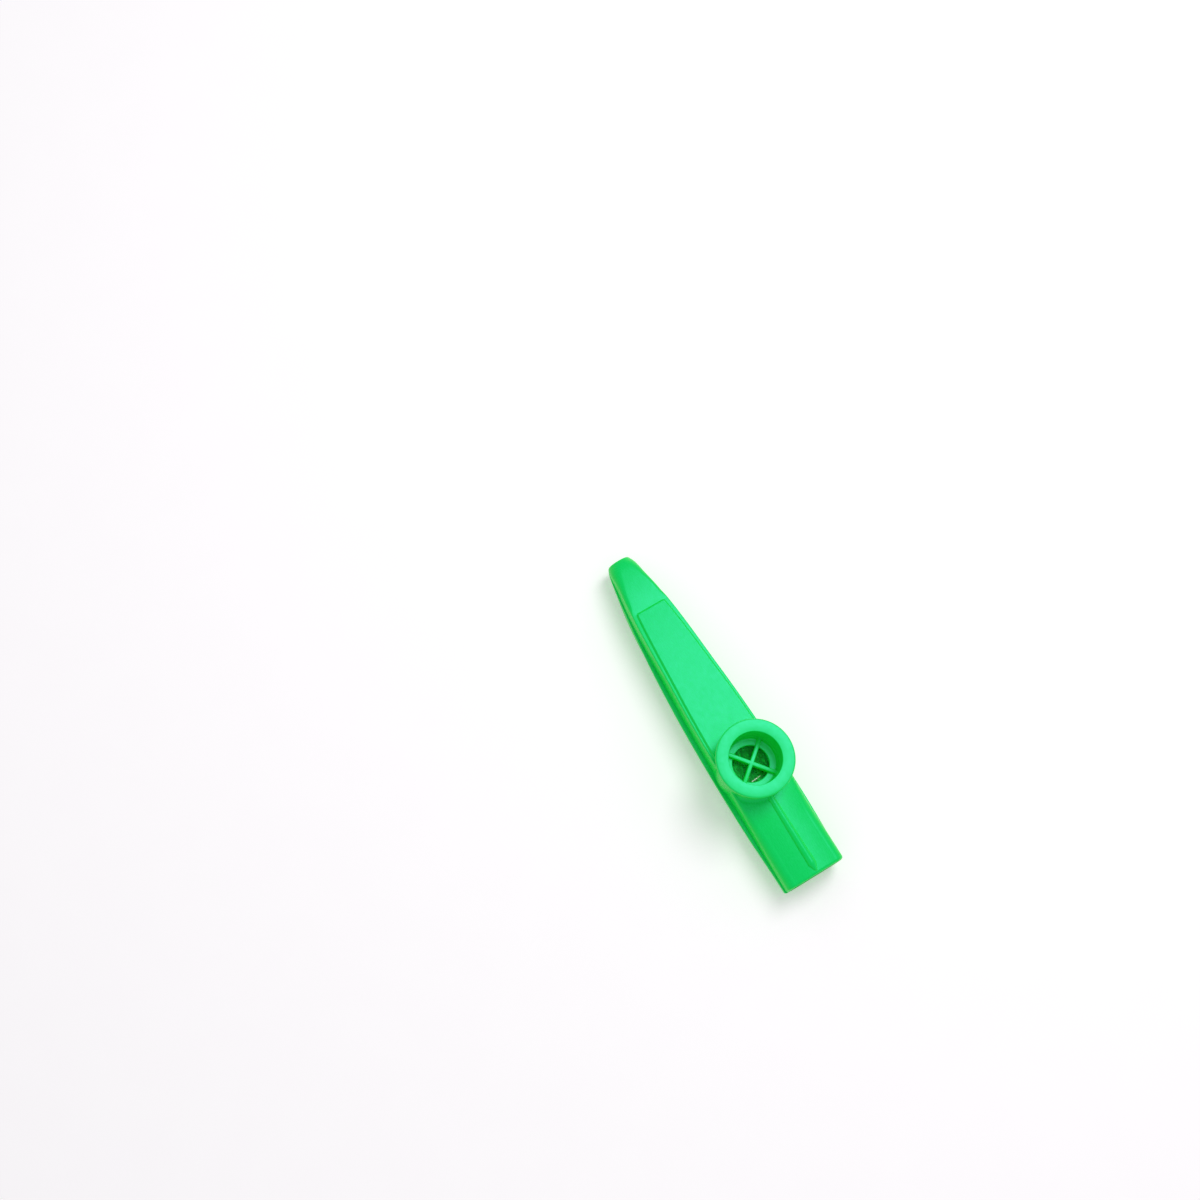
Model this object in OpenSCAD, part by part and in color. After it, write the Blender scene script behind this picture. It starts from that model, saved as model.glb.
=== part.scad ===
// A moulded kazoo: two body shells, a push-in turret cap, and the membrane under its ring.
// X runs from the round tip to the mouth end, Z points up, and the lower shell rests on Z = 0.

/* [Body] */
// Length of the body from the tip to the mouth end
body_len = 120; // [95:1:150]
// Width over the lower shell's rim where the body is widest
body_w = 23.4; // [22.6:0.1:28]
// Width over the lower shell's rim at the mouth end
mouth_w = 22.2; // [16:0.1:26]
// Distance from the tip to the widest place
widest_at = 95; // [70:1:110]
// Height of the seam above the resting face
seam_h = 7.6; // [6.5:0.1:12]
// Height of the upper shell above the seam at the turret
crown_h = 7.2; // [6:0.1:10]
// Height of the upper shell above the seam at the mouth end
mouth_h = 5.7; // [4:0.1:8]
// How much higher the middle of the mouth end's roof is than its shoulders
mouth_dome = 1.1; // [0.3:0.1:2]
// Distance past the turret's axis over which the roof turns from flat to domed
mouth_run = 24; // [15:1:36]
// How far the mouth end's outer edge is rounded in
mouth_round = 0.9; // [0.2:0.1:1]
// Wall of both shells
wall = 1.4; // [1:0.1:2]
// Exponent of the curve by which the body widens from the tip
swell_share = 2.45; // [1.8:0.05:3.2]

/* [Tip] */
// Outside diameter of the round tip
tip_d = 8.8; // [8.2:0.1:12]
// How far the tip's outer edge is rounded in
tip_round = 0.9; // [0.2:0.1:1]
// Length over which the tip's outer edge is rounded
tip_round_len = 4; // [0.5:0.5:6]
// Distance from the tip over which the shoulders turn from round to sharp
nose_run = 15; // [8:0.5:18]
// Radius of the shoulders just behind the tip
nose_round = 1.3; // [0.5:0.1:3]

/* [Seam] */
// How far the lower shell's rim stands proud of the upper shell at both ends
rim_step = 0.4; // [0.1:0.05:0.8]
// How much further the rim stands proud beside the turret
rim_ledge = 1; // [0.2:0.1:1.2]
// Distance from the tip to the place where the rim starts to widen
ledge_from = 12; // [5:1:20]
// Length over which the rim widens
ledge_run = 36; // [20:1:45]
// Length before the mouth end over which the rim narrows again
ledge_end = 30; // [15:1:35]
// Height of the lower shell's rim band
rim_band = 1.3; // [0.6:0.1:2]
// How far the lower shell's side lies inside its rim band at both ends
rim_tuck = 0.25; // [0.1:0.05:0.6]
// Depth of the upper shell's tongue inside the lower shell
tongue_h = 0.8; // [0.4:0.1:1.2]
// Clearance beside and below the tongue
tongue_gap = 0.08; // [0.03:0.01:0.15]

/* [Panel] */
// Distance from the tip to the panel's front edge
panel_from = 18.8; // [14:0.1:30]
// Height of the upper shell above the seam at the panel's front edge
nose_h = 5.5; // [4.8:0.1:8]
// How far the panel stands above the shell
panel_t = 0.7; // [0.3:0.1:1.2]
// Distance from the shell's side to the panel's side at its front edge
panel_inset = 1.6; // [1.2:0.05:3]
// Distance from the shell's side to the panel's side beside the turret
turret_inset = 0.9; // [0.7:0.05:2.5]
// Radius of the shoulders beside the panel
shoulder_r = 0.4; // [0.3:0.1:1]
// Radius of the shoulders at the mouth end
mouth_r = 3; // [2:0.1:4]

/* [Rib] */
// Width of the rib beside the turret
rib_w = 2; // [1:0.1:3]
// Width of the rib near the mouth end
rib_end_w = 2.9; // [1:0.1:4]
// Height of the rib above the roof beside the turret
rib_rise = 0.8; // [0.3:0.1:1.2]
// Height of the rib above the roof near the mouth end
rib_end_rise = 1.1; // [0.4:0.1:1.6]
// Plain roof between the rib's end and the mouth end
rib_gap = 1; // [0.5:0.1:6]

/* [Turret] */
// Distance from the tip to the turret's axis
turret_at = 79.5; // [60:0.5:95]
// Height of the turret's rim above the shell
turret_rise = 10.9; // [8.5:0.1:16]
// Diameter of the cap's open bore
bore_d = 17.2; // [15:0.1:18]
// Wall of the cap's tube
tube_wall = 1.1; // [0.8:0.05:1.3]
// Radial clearance between the cap's tube and the collar
push_gap = 0.06; // [0.02:0.01:0.09]
// Wall of the collar
collar_wall = 1.15; // [0.9:0.05:1.4]
// How far the cap's flange overhangs the collar
flange_over = 1.85; // [0.8:0.05:3]
// Thickness of the flange
flange_t = 1.5; // [1:0.1:2.5]
// Radius that rounds the flange's edges
flange_round = 0.5; // [0.2:0.05:0.6]
// Radius of the fillet at the foot of the collar
foot_r = 1.6; // [0.6:0.1:2.4]
// Depth from the rim to the cap's floor ring
floor_depth = 9.8; // [7:0.1:10.5]
// Thickness of the floor ring
floor_t = 1.2; // [0.8:0.1:1.8]
// Diameter of the hole in the floor ring
floor_hole_d = 11.9; // [9:0.1:13.5]
// Width of a cross bar
bar_w = 1.35; // [0.8:0.05:2]
// Height of a cross bar above the floor ring
bar_h = 1.5; // [0.8:0.1:2.2]
// Angle of the first cross bar from the body's length
bar_turn = 38.8; // [0:0.1:90]

/* [Membrane] */
// Thickness of the membrane's film
film_t = 0.12; // [0.05:0.01:0.3]
// Thickness of the ring on the membrane
ring_t = 0.8; // [0.5:0.1:1.2]
// Width of the ring's band
ring_band = 2.9; // [1.5:0.1:3.5]
// Clearance between the ring and the collar
ring_gap = 0.25; // [0.1:0.05:0.5]
// How far the film's edge lies inside the ring's edge
film_inset = 0.2; // [0.1:0.05:0.5]
// Thickness of the seat under the membrane
seat_t = 1.2; // [0.8:0.1:1.8]
// Diameter of the hole in the seat
seat_hole_d = 11; // [8:0.1:14]
// Play between the seat, the film, the ring and the cap
stack_gap = 0.05; // [0.02:0.01:0.1]

/* [Hidden] */
$fn = 96;
// Overrun of every cut
over = 0.6;
// How far the upper shell's side leans in from the seam to its shoulder
draft = 0.15;
// Length over which the rim and the tongue grow out of the tip
tip_run = 9;
// Distance from the tip to the place where the lower shell comes down to the surface
rest_from = 34;
// Width of the flat that the lower shell rests on
rest_w = 10;
// Smallest radius in the corners of the duct
duct_r = 0.5;
// How deep the panel, the rib and the foot are rooted in the shell
root_d = 0.5;
// How far the panel's sides lean in from foot to top
lean = 0.25;
// Radius that trims the panel's front corners
panel_corner = 0.8;
// Length of the rib's pointed end
rib_point = 2.6;
// Half width of the rib's point, and its height above the roof
rib_tip = 0.3;
// Radius of the fillet between the cap's bore and its floor
floor_fillet = 0.7;
// How much narrower the bore is beside the cross bars
bore_step = 0.2;
// Clear bore that is left above the cross bars
bar_room = 0.3;
// How deep the cross bars are rooted in the floor ring and in the tube
bar_root = 0.6;
// Chamfer at the mouth of the collar, of the bore and at the foot of the cap's tube
lead = 0.25;

// Places along the body, as shares of its length
station_shares = [0, 0.003, 0.008, 0.018, 0.033, 0.055, 0.085, 0.12, 0.157, 0.21, 0.28,
                  0.36, 0.45, 0.54, 0.63, 0.69, 0.75, 0.81, 0.88, 0.94, 0.9925, 0.9945, 0.998, 1];
// Places round the panel's front corner, as shares of the corner's radius
corner_shares = [0, 0.3, 1];
// Places between the middle of the roof and its shoulder, as shares of the half width
roof_shares = [0.6, 0.25];
// Places along the rib before its point
rib_shares = [0, 0.25, 0.5, 0.75, 1];
// Share of the shell's wall that the tongue takes
tongue_share = 0.5;
// Share of the rim band and of the tongue's depth that is left at the tip
tip_share = 0.3;
// Largest share of a section's half width that its corner takes
round_share = 0.94;
// Steps of an arc
arc_steps = 6;
// Turn between the points of the rib's round section
rib_turn = 22.5;
// Angles of an arc, without its first point
arc_turns = [for (i = [1:arc_steps]) 90 * i / arc_steps];

tip_x = -body_len / 2;
turret_x = tip_x + turret_at;
roof_z = seam_h + crown_h;
rim_z = roof_z + turret_rise;
bore_r = bore_d / 2;
tube_r = bore_r + tube_wall;
collar_in_r = tube_r + push_gap;
collar_r = collar_in_r + collar_wall;
flange_r = collar_r + flange_over;
collar_top = rim_z - flange_t - stack_gap;
floor_z = rim_z - floor_depth;
bars_z = floor_z + bar_h;
cap_z = floor_z - floor_t;
ring_z = cap_z - stack_gap - ring_t;
film_z = ring_z - stack_gap - film_t;
seat_z = film_z - stack_gap;
seat_low = seat_z - seat_t;
ring_r = collar_in_r - ring_gap;
film_r = ring_r - film_inset;
stations = [for (k = station_shares) k * body_len];

function mix(a, b, t) = a + (b - a) * t;
function clamp(t) = min(max(t, 0), 1);
function ease(t) = let (u = clamp(t)) u * u * (3 - 2 * u);
function ease_out(t) = 1 - pow(1 - clamp(t), 2);
function reverse(list) = [for (i = [len(list) - 1:-1:0]) list[i]];

// The left half of a section, mirrored from its right half
function left(right) = reverse([for (p = right) if (p[0] > 0) [-p[0], p[1]]]);

// A closed section from its right half, which runs from the bottom to the top
function closed(right) = concat(right, left(right));

// A trough's section from the right halves of its outside and inside, which match in count
function trough(outside, inside) =
    concat(left(outside), outside, reverse(concat(left(inside), inside)));

// Share of the way from the turret to the mouth end
function past_turret(s) = ease((s - turret_at) / (body_len - turret_at));

// How far the roof has turned from flat to domed
function domed(s) = ease((s - turret_at) / mouth_run);

// How far an edge of a given depth and length is rounded back at a distance from it
function edge_trim(depth, run, along) = depth * (1 - sqrt(1 - pow(clamp(1 - along / run), 2)));

// How far the outer edges of both ends are rounded back at a place s from the tip
function rounded(s) = edge_trim(tip_round, tip_round_len, s)
    + edge_trim(mouth_round, mouth_round, body_len - s);

// Half width over the rim at a place s from the tip
function rim_half(s) = s < widest_at
    ? mix(tip_d / 2, body_w / 2, 1 - pow(1 - s / widest_at, swell_share))
    : mix(body_w / 2, mouth_w / 2, ease((s - widest_at) / (body_len - widest_at)));

// How much further the rim stands proud than at the ends
function ledge(s) =
    rim_ledge * min(ease((s - ledge_from) / ledge_run), ease((body_len - s) / ledge_end));

// Half width of the upper shell, which lies a step inside the rim
function upper_half(s) = rim_half(s) - rim_step * ease(s / tip_run) - ledge(s);

// Half width of the lower shell's side below the rim
function side_half(s) = rim_half(s) - rim_tuck * grown(s) - ledge(s);

// Height of the roof above the seam, along its middle
function roof_h(s) = s < panel_from ? mix(tip_d / 2, nose_h, ease_out(s / panel_from))
    : s < turret_at ? mix(nose_h, crown_h, ease_out((s - panel_from) / (turret_at - panel_from)))
    : mix(crown_h, mouth_h + mouth_dome, past_turret(s));

// How much the roof drops from its middle to its shoulders
function roof_drop(s) = mouth_dome * domed(s);

// Radius of the upper shell's shoulders, nearly full round at the tip
function shoulder(s) =
    mix(mix(tip_d / 2, nose_round, ease_out(s / nose_run)), mix(shoulder_r, mouth_r, domed(s)),
        ease((s - nose_run) / (panel_from - nose_run)));

// Depth of the lower shell below the seam
function keel_h(s) = mix(tip_d / 2, seam_h, ease_out(s / rest_from));

// Radius of the lower shell's long edges, which leaves a flat of one width behind the nose
function keel_round(s) = mix(tip_d / 2, side_half(s) - rest_w / 2, ease(s / rest_from));

// How much of the rim band and of the tongue's depth there is
function grown(s) = mix(tip_share, 1, ease(s / tip_run));

// Share of its drop that a domed roof has at a share k of its half width
function dome_drop(k) = (k + k * k) / 2;

// Right half of a domed roof, from above its side up to its middle
function arch(half, h, r, drop) =
    let (round_r = min(r, half * round_share, (h - drop) * round_share),
         flat = half - round_r, spring = h - drop - round_r)
    concat([for (a = arc_turns) [flat + round_r * cos(a), spring + round_r * sin(a)]],
           [for (k = roof_shares) [flat * k, h - drop * dome_drop(k)]],
           [[0, h]]);

// Right half of a keel, from its middle up to below its side
function keel(half, h, r) =
    let (round_r = min(r, half * round_share, h * round_share),
         flat = half - round_r, spring = h - round_r)
    concat([[0, -h]],
           [for (a = reverse(arc_turns)) [flat + round_r * cos(a), -spring - round_r * sin(a)]]);

// Upper shell: its outside with the tongue below the seam, and inside the duct
function upper_section(s) =
    let (half = upper_half(s) - rounded(s), low = tongue_h * grown(s),
         tongue = upper_half(s) - wall * tongue_share - tongue_gap,
         inside = upper_half(s) - wall)
    reverse(trough(
        reverse(concat([[tongue, -low], [tongue, 0], [half, 0]],
                       arch(half - draft * ease(s / tip_run), roof_h(s) - rounded(s),
                            shoulder(s), roof_drop(s)))),
        reverse(concat([[inside, -low], [inside, low / 2], [inside, low]],
                       arch(inside, roof_h(s) - wall, max(shoulder(s) - wall, duct_r),
                            roof_drop(s))))));

// Lower shell: its keel and rim band outside, and inside its cavity with room for the tongue
function lower_section(s) =
    let (trim = rounded(s), half = rim_half(s) - trim, side = side_half(s) - trim,
         h = keel_h(s) - trim, band = rim_band * grown(s),
         room = upper_half(s) - wall * tongue_share, low = tongue_h * grown(s) + tongue_gap,
         inside = rim_half(s) - rim_tuck - ledge(s) - wall)
    trough(concat(keel(side, h, min(keel_round(s), h - band)),
                  [[side, -band], [half, -band], [half, 0]]),
           concat(keel(inside, keel_h(s) - wall, max(keel_round(s) - wall, duct_r)),
                  [[inside, -low], [room, -low], [room, 0]]));

// Distance from the shell's side to the panel's side
function inset(s) =
    mix(panel_inset, turret_inset, ease_out((s - panel_from) / (turret_at - panel_from)));

// Outside of the raised panel, rooted in the roof
function panel_section(s, trim) =
    let (half = upper_half(s) - inset(s) - trim)
    closed([[half, roof_h(s) - root_d], [half - lean, roof_h(s) + panel_t]]);

// Outside of the rib, half round and rooted in the roof
function rib_section(s, half, rise) =
    closed(concat([[half, roof_h(s) - root_d]],
                  [for (a = [0:rib_turn:90 - rib_turn]) [half * cos(a), roof_h(s) + rise * sin(a)]],
                  [[0, roof_h(s) + rise]]));

// Faces that close a convex section
function convex_end(section) = [[for (j = [0:len(section) - 1]) j]];

// Faces that close a trough's section, in strips between its outside and its inside
function trough_end(section) =
    let (count = len(section))
    [for (j = [0:count / 2 - 2]) let (k = count - 1 - j)
     for (face = [[j, j + 1, k - 1], [j, k - 1, k]]) face];

// Solid swept through sections at their places from the tip, closed by the faces of its end
module sweep(places, sections, end) {
    count = len(sections[0]);
    last = len(sections) - 1;
    points = [for (i = [0:last]) for (p = sections[i]) [tip_x + places[i], p[0], seam_h + p[1]]];
    sides = [for (i = [1:last]) for (j = [0:count - 1])
        let (k = (j + 1) % count, a = (i - 1) * count, b = i * count)
        for (face = [[a + j, b + j, b + k], [a + j, b + k, a + k]]) face];
    far_end = [for (face = end) [for (j = reverse(face)) last * count + j]];
    polyhedron(points, concat(sides, end, far_end));
}

// Round solid on the turret's axis from z up to top
module on_turret(r, z, top) {
    translate([turret_x, 0, z]) cylinder(r = r, h = top - z);
}

// Raised panel from its front edge to the turret
module panel() {
    corner = [for (k = corner_shares) k * panel_corner];
    run = [for (k = station_shares)
        if (k * body_len > panel_from + panel_corner && k * body_len < turret_at) k * body_len];
    places = concat([for (c = corner) panel_from + c], run, [turret_at]);
    trims = concat([for (c = corner) panel_corner - sqrt(c * (2 * panel_corner - c))],
                   [for (s = run) 0], [0]);
    sections = [for (i = [0:len(places) - 1]) panel_section(places[i], trims[i])];
    sweep(places, sections, convex_end(sections[0]));
}

// Rib from inside the collar's wall to its point
module rib() {
    from = turret_at + collar_in_r + collar_wall / 2;
    to = body_len - rib_gap - rib_point;
    sections = concat(
        [for (k = rib_shares) rib_section(mix(from, to, k), mix(rib_w, rib_end_w, k) / 2,
                                          mix(rib_rise, rib_end_rise, k))],
        [rib_section(to + rib_point, rib_tip, rib_tip)]);
    sweep(concat([for (k = rib_shares) mix(from, to, k)], [to + rib_point]),
          sections, convex_end(sections[0]));
}

// Collar on its seat, whose sides run down inside the shell's side walls
module collar() {
    side = upper_half(turret_at) - wall / 2;
    difference() {
        on_turret(collar_r, seam_h + rim_step, collar_top);
        translate([turret_x - collar_r - over, -side, seam_h])
            cube([2 * (collar_r + over), 2 * side, seat_low - seam_h]);
    }
}

// Fillet round the collar's foot, as wide as the flat of the roof
module foot() {
    half = upper_half(turret_at) - shoulder_r;
    reach = collar_r + foot_r;
    intersection() {
        translate([turret_x, 0, roof_z])
            rotate_extrude()
                difference() {
                    translate([collar_r - root_d, -root_d]) square([foot_r + root_d, foot_r + root_d]);
                    translate([reach, foot_r]) circle(r = foot_r);
                }
        translate([turret_x - reach, -half, roof_z - root_d])
            cube([2 * reach, 2 * half, foot_r + root_d]);
    }
}

module lower_shell() {
    sections = [for (s = stations) lower_section(s)];
    color("#14c657") sweep(stations, sections, trough_end(sections[0]));
}

module upper_shell() {
    sections = [for (s = stations) upper_section(s)];
    color("#1fd768")
        difference() {
            union() {
                sweep(stations, sections, trough_end(sections[0]));
                collar();
                panel();
                rib();
                foot();
            }
            on_turret(collar_in_r, seat_z, collar_top + over);
            on_turret(seat_hole_d / 2, seat_low - over, seat_z + over);
            translate([turret_x, 0, collar_top - lead])
                cylinder(r1 = collar_in_r, r2 = collar_in_r + lead, h = lead);
        }
}

// Outline of the cap to the right of its axis
function cap_outline() = concat(
    [[tube_r - lead, cap_z], [tube_r, cap_z + lead], [tube_r, rim_z - flange_t]],
    [for (a = concat([0], arc_turns)) [flange_r - flange_round * (1 - sin(a)),
                                       rim_z - flange_t + flange_round * (1 - cos(a))]],
    [for (a = concat([0], arc_turns)) [flange_r - flange_round * (1 - cos(a)),
                                       rim_z - flange_round * (1 - sin(a))]],
    [[bore_r + lead, rim_z], [bore_r, rim_z - lead], [bore_r, bars_z + bar_room],
     [bore_r - bore_step, bars_z + bar_room - bore_step]],
    [for (a = concat([0], arc_turns)) [bore_r - bore_step - floor_fillet * (1 - cos(a)),
                                       floor_z + floor_fillet * (1 - sin(a))]],
    [[floor_hole_d / 2, floor_z], [floor_hole_d / 2, cap_z]]);

module turret_cap() {
    color("#3deb8e")
        union() {
            translate([turret_x, 0, 0]) rotate_extrude() polygon(cap_outline());
            intersection() {
                on_turret(bore_r - bore_step + bar_root, floor_z - bar_root, bars_z);
                for (turn = [bar_turn, bar_turn + 90])
                    translate([turret_x, 0, floor_z - bar_root])
                        rotate([0, 0, turn])
                            translate([-bore_r, -bar_w / 2, 0])
                                cube([bore_d, bar_w, bar_root + bar_h]);
            }
        }
}

module membrane() {
    color([0.1, 0.45, 0.25, 0.8]) on_turret(film_r, film_z, film_z + film_t);
}

module membrane_ring() {
    color("ivory")
        difference() {
            on_turret(ring_r, ring_z, ring_z + ring_t);
            on_turret(ring_r - ring_band, ring_z - over, ring_z + ring_t + over);
        }
}

lower_shell();
upper_shell();
turret_cap();
membrane();
membrane_ring();
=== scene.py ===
"""A moulded kazoo, dressed over its packed frame."""
import math

import bmesh
import bpy
from bpy.props import FloatProperty, FloatVectorProperty, PointerProperty
from mathutils import Matrix, Vector, noise


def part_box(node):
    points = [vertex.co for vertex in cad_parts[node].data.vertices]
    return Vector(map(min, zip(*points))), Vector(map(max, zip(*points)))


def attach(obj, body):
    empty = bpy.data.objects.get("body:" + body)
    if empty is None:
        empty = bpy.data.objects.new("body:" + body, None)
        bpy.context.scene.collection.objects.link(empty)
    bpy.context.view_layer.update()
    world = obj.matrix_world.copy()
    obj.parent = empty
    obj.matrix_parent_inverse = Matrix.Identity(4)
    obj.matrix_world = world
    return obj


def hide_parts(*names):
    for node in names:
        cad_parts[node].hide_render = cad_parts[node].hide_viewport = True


bl_info = {
    "name": "Kazoo",
    "version": (1, 0, 0),
    "blender": (4, 5, 0),
    "location": "3D View > Sidebar > Kazoo",
    "description": "Dresses the parts of a moulded kazoo over their frame",
    "category": "Add Mesh",
}

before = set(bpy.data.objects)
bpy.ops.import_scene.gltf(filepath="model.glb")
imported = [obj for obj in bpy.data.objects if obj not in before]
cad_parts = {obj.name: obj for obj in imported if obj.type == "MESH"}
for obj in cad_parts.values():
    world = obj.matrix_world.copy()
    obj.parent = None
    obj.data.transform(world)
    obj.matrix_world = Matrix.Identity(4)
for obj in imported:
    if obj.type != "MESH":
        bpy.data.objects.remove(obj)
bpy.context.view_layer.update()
MM = 0.001
# Points nearer than the first are merged, and places nearer than the second count as the same
MERGE_DIST = 1e-7
SAME = 1e-6
WHITE = (1, 1, 1, 1)
BODY_LOW, BODY_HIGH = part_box("lower_shell")
UPPER_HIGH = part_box("upper_shell")[1]
CAP_LOW, CAP_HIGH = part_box("turret_cap")
FILM_LOW, FILM_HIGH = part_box("membrane")
RING_LOW, RING_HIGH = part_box("membrane_ring")
BODY_LEN = float(BODY_HIGH[0] - BODY_LOW[0])
SEAM_Z = float(BODY_HIGH[2])
TURRET_X = float(CAP_LOW[0] + CAP_HIGH[0]) / 2
FLANGE_R = float(CAP_HIGH[0] - CAP_LOW[0]) / 2
RIM_Z = float(CAP_HIGH[2])
# Play between the film and its seat
SEAT_PLAY = 0.05 * MM


def size(name, description, default):
    """A length that a user may change."""
    return FloatProperty(name=name, description=description, default=float(default),
                         min=0, unit="LENGTH", subtype="DISTANCE", precision=5)


def share(name, description, default):
    """A plain number that a user may change."""
    return FloatProperty(name=name, description=description, default=default, min=0)


def turn(name, description, degrees):
    """An angle that a user may change."""
    return FloatProperty(name=name, description=description, default=math.radians(degrees),
                         subtype="ANGLE", unit="ROTATION")


def colour(name, description, default):
    """A colour that a user may change."""
    return FloatVectorProperty(name=name, description=description, default=default,
                               size=3, min=0, max=1, subtype="COLOR")


class KazooBody(bpy.types.PropertyGroup):
    """Sizes of the two body shells."""
    length: size("Length", "From the tip to the mouth end", BODY_LEN)
    width: size("Width", "Over the rim where the body is widest", 2 * BODY_HIGH[1])
    mouth_width: size("Mouth width", "Over the rim at the mouth end", 22.2 * MM)
    widest_at: size("Widest place", "From the tip to the widest place", 95 * MM)
    swell: share("Swell", "How the body widens from the tip", 2.45)
    seam: size("Seam height", "Height of the seam above the resting face", SEAM_Z)
    crown: size("Crown", "Height of the roof above the seam at the turret", 7.2 * MM)
    mouth_height: size("Mouth height", "Height of the mouth end's shoulders", 5.7 * MM)
    dome: size("Dome", "Rise of the mouth end's roof over its shoulders", 1.1 * MM)
    mouth_run: size("Mouth run", "Length over which the roof turns from flat to domed", 24 * MM)
    wall: size("Wall", "Wall of both shells", 1.4 * MM)
    tip: size("Tip", "Outside diameter of the round tip", 8.8 * MM)
    tip_edge: size("Tip edge", "How far the tip's edge is rounded in", 0.9 * MM)
    tip_edge_run: size("Tip edge run", "Length over which the tip's edge is rounded", 4 * MM)
    nose_run: size("Nose run", "Length over which the shoulders turn from round to sharp", 15 * MM)
    mouth_edge: size("Mouth edge", "Radius that rounds the mouth end's edge", 0.9 * MM)
    nose_shoulder: size("Nose shoulder", "Radius of the shoulders just behind the tip", 1.3 * MM)
    rim_step: size("Rim step", "How far the rim stands proud of the upper shell at the ends", 0.4 * MM)
    ledge: size("Ledge", "How much further the rim stands proud beside the turret", 1 * MM)
    ledge_from: size("Ledge start", "From the tip to where the rim starts to widen", 12 * MM)
    ledge_run: size("Ledge run", "Length over which the rim widens", 36 * MM)
    ledge_end: size("Ledge end", "Length over which the rim narrows to the mouth end", 30 * MM)
    rim_band: size("Rim band", "Height of the rim", 1.3 * MM)
    rim_tuck: size("Rim tuck", "How far the side lies inside the rim at the ends", 0.25 * MM)
    tongue: size("Tongue", "Depth of the tongue below the seam", 0.8 * MM)
    tongue_gap: size("Tongue gap", "Clearance round the tongue", 0.08 * MM)
    nose: size("Nose", "Height above the seam at the panel's front edge", 5.5 * MM)
    shoulder: size("Shoulder", "Radius of the shoulders beside the panel", 0.4 * MM)
    mouth_shoulder: size("Mouth shoulder", "Radius of the mouth end's shoulders", 3 * MM)
    draft: size("Draft", "How far the side leans in up to its shoulder", 0.15 * MM)
    rest: size("Rest", "Width of the flat that the body rests on", 10 * MM)
    rests_from: size("Rests from", "From the tip to where the body comes to rest", 34 * MM)
    panel_from: size("Panel start", "From the tip to the panel's front edge", 18.8 * MM)
    panel_rise: size("Panel rise", "Height of the raised panel", 0.7 * MM)
    panel_inset: size("Panel inset", "From the shell's side to the panel's front corners", 1.6 * MM)
    turret_inset: size("Turret inset", "From the shell's side to the panel beside the turret", 0.9 * MM)
    panel_corner: size("Panel corner", "Radius of the panel's front corners", 0.8 * MM)
    rib_width: size("Rib width", "Width of the rib beside the turret", 2 * MM)
    rib_end_width: size("Rib end width", "Width of the rib near the mouth end", 2.9 * MM)
    rib_rise: size("Rib rise", "Height of the rib beside the turret", 0.8 * MM)
    rib_end: size("Rib end", "Height of the rib near the mouth end", 1.1 * MM)
    rib_gap: size("Rib gap", "Plain roof past the rib's point", 1 * MM)
    rib_point: size("Rib point", "Length of the rib's point", 2.6 * MM)
    rib_tip: size("Rib tip", "Half width and height of the rib's point", 0.3 * MM)
    step_run: size("Step run", "Run of the panel's rounded sides", 0.6 * MM)
    edge: size("Edge", "Rounding of the small moulded edges", 0.14 * MM)


class KazooTurret(bpy.types.PropertyGroup):
    """Sizes of the turret's collar, cap and membrane."""
    at: size("Axis", "From the tip to the turret's axis", TURRET_X - float(BODY_LOW[0]))
    rim: size("Rim height", "Height of the rim above the resting face", RIM_Z)
    bore: size("Bore", "Radius of the cap's bore", 8.6 * MM)
    tube: size("Tube", "Outside radius of the cap's tube", 9.7 * MM)
    flange: size("Flange", "Outside radius of the flange", FLANGE_R)
    flange_t: size("Flange thickness", "Thickness of the flange", 1.5 * MM)
    flange_edge: size("Flange edge", "Rounding of the flange's edges", 0.55 * MM)
    floor: size("Floor", "Height of the floor ring above the resting face", RIM_Z - 9.8 * MM)
    floor_low: size("Floor underside", "Height of the cap's lowest face", float(CAP_LOW[2]))
    floor_hole: size("Floor hole", "Radius of the hole in the floor ring", 5.95 * MM)
    bore_step: size("Bore step", "How much narrower the bore is beside the bars", 0.2 * MM)
    bar_width: size("Bar width", "Width of a cross bar", 1.35 * MM)
    bar_height: size("Bar height", "Height of a cross bar above the floor ring", 1.5 * MM)
    bar_turn: turn("Bar turn", "Turn of the cross bars about the turret", 38.8)
    collar_in: size("Collar bore", "Inside radius of the collar", 9.76 * MM)
    collar: size("Collar", "Outside radius of the collar", 10.91 * MM)
    collar_top: size("Collar top", "Height of the collar's top", float(UPPER_HIGH[2]))
    foot: size("Foot", "Radius of the fillet at the collar's foot", 1.6 * MM)
    seat: size("Seat", "Height of the membrane's seat", float(FILM_LOW[2]) - SEAT_PLAY)
    seat_t: size("Seat thickness", "Thickness of the seat", 1.2 * MM)
    seat_hole: size("Seat hole", "Radius of the hole in the seat", 5.5 * MM)
    film: size("Film", "Radius of the membrane", FILM_HIGH[1])
    film_sag: size("Film sag", "Depth of the membrane's wrinkles", 0.16 * MM)
    ring: size("Ring", "Outside radius of the membrane's ring", RING_HIGH[1])
    ring_band: size("Ring band", "Width of the ring's band", 2.9 * MM)


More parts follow.
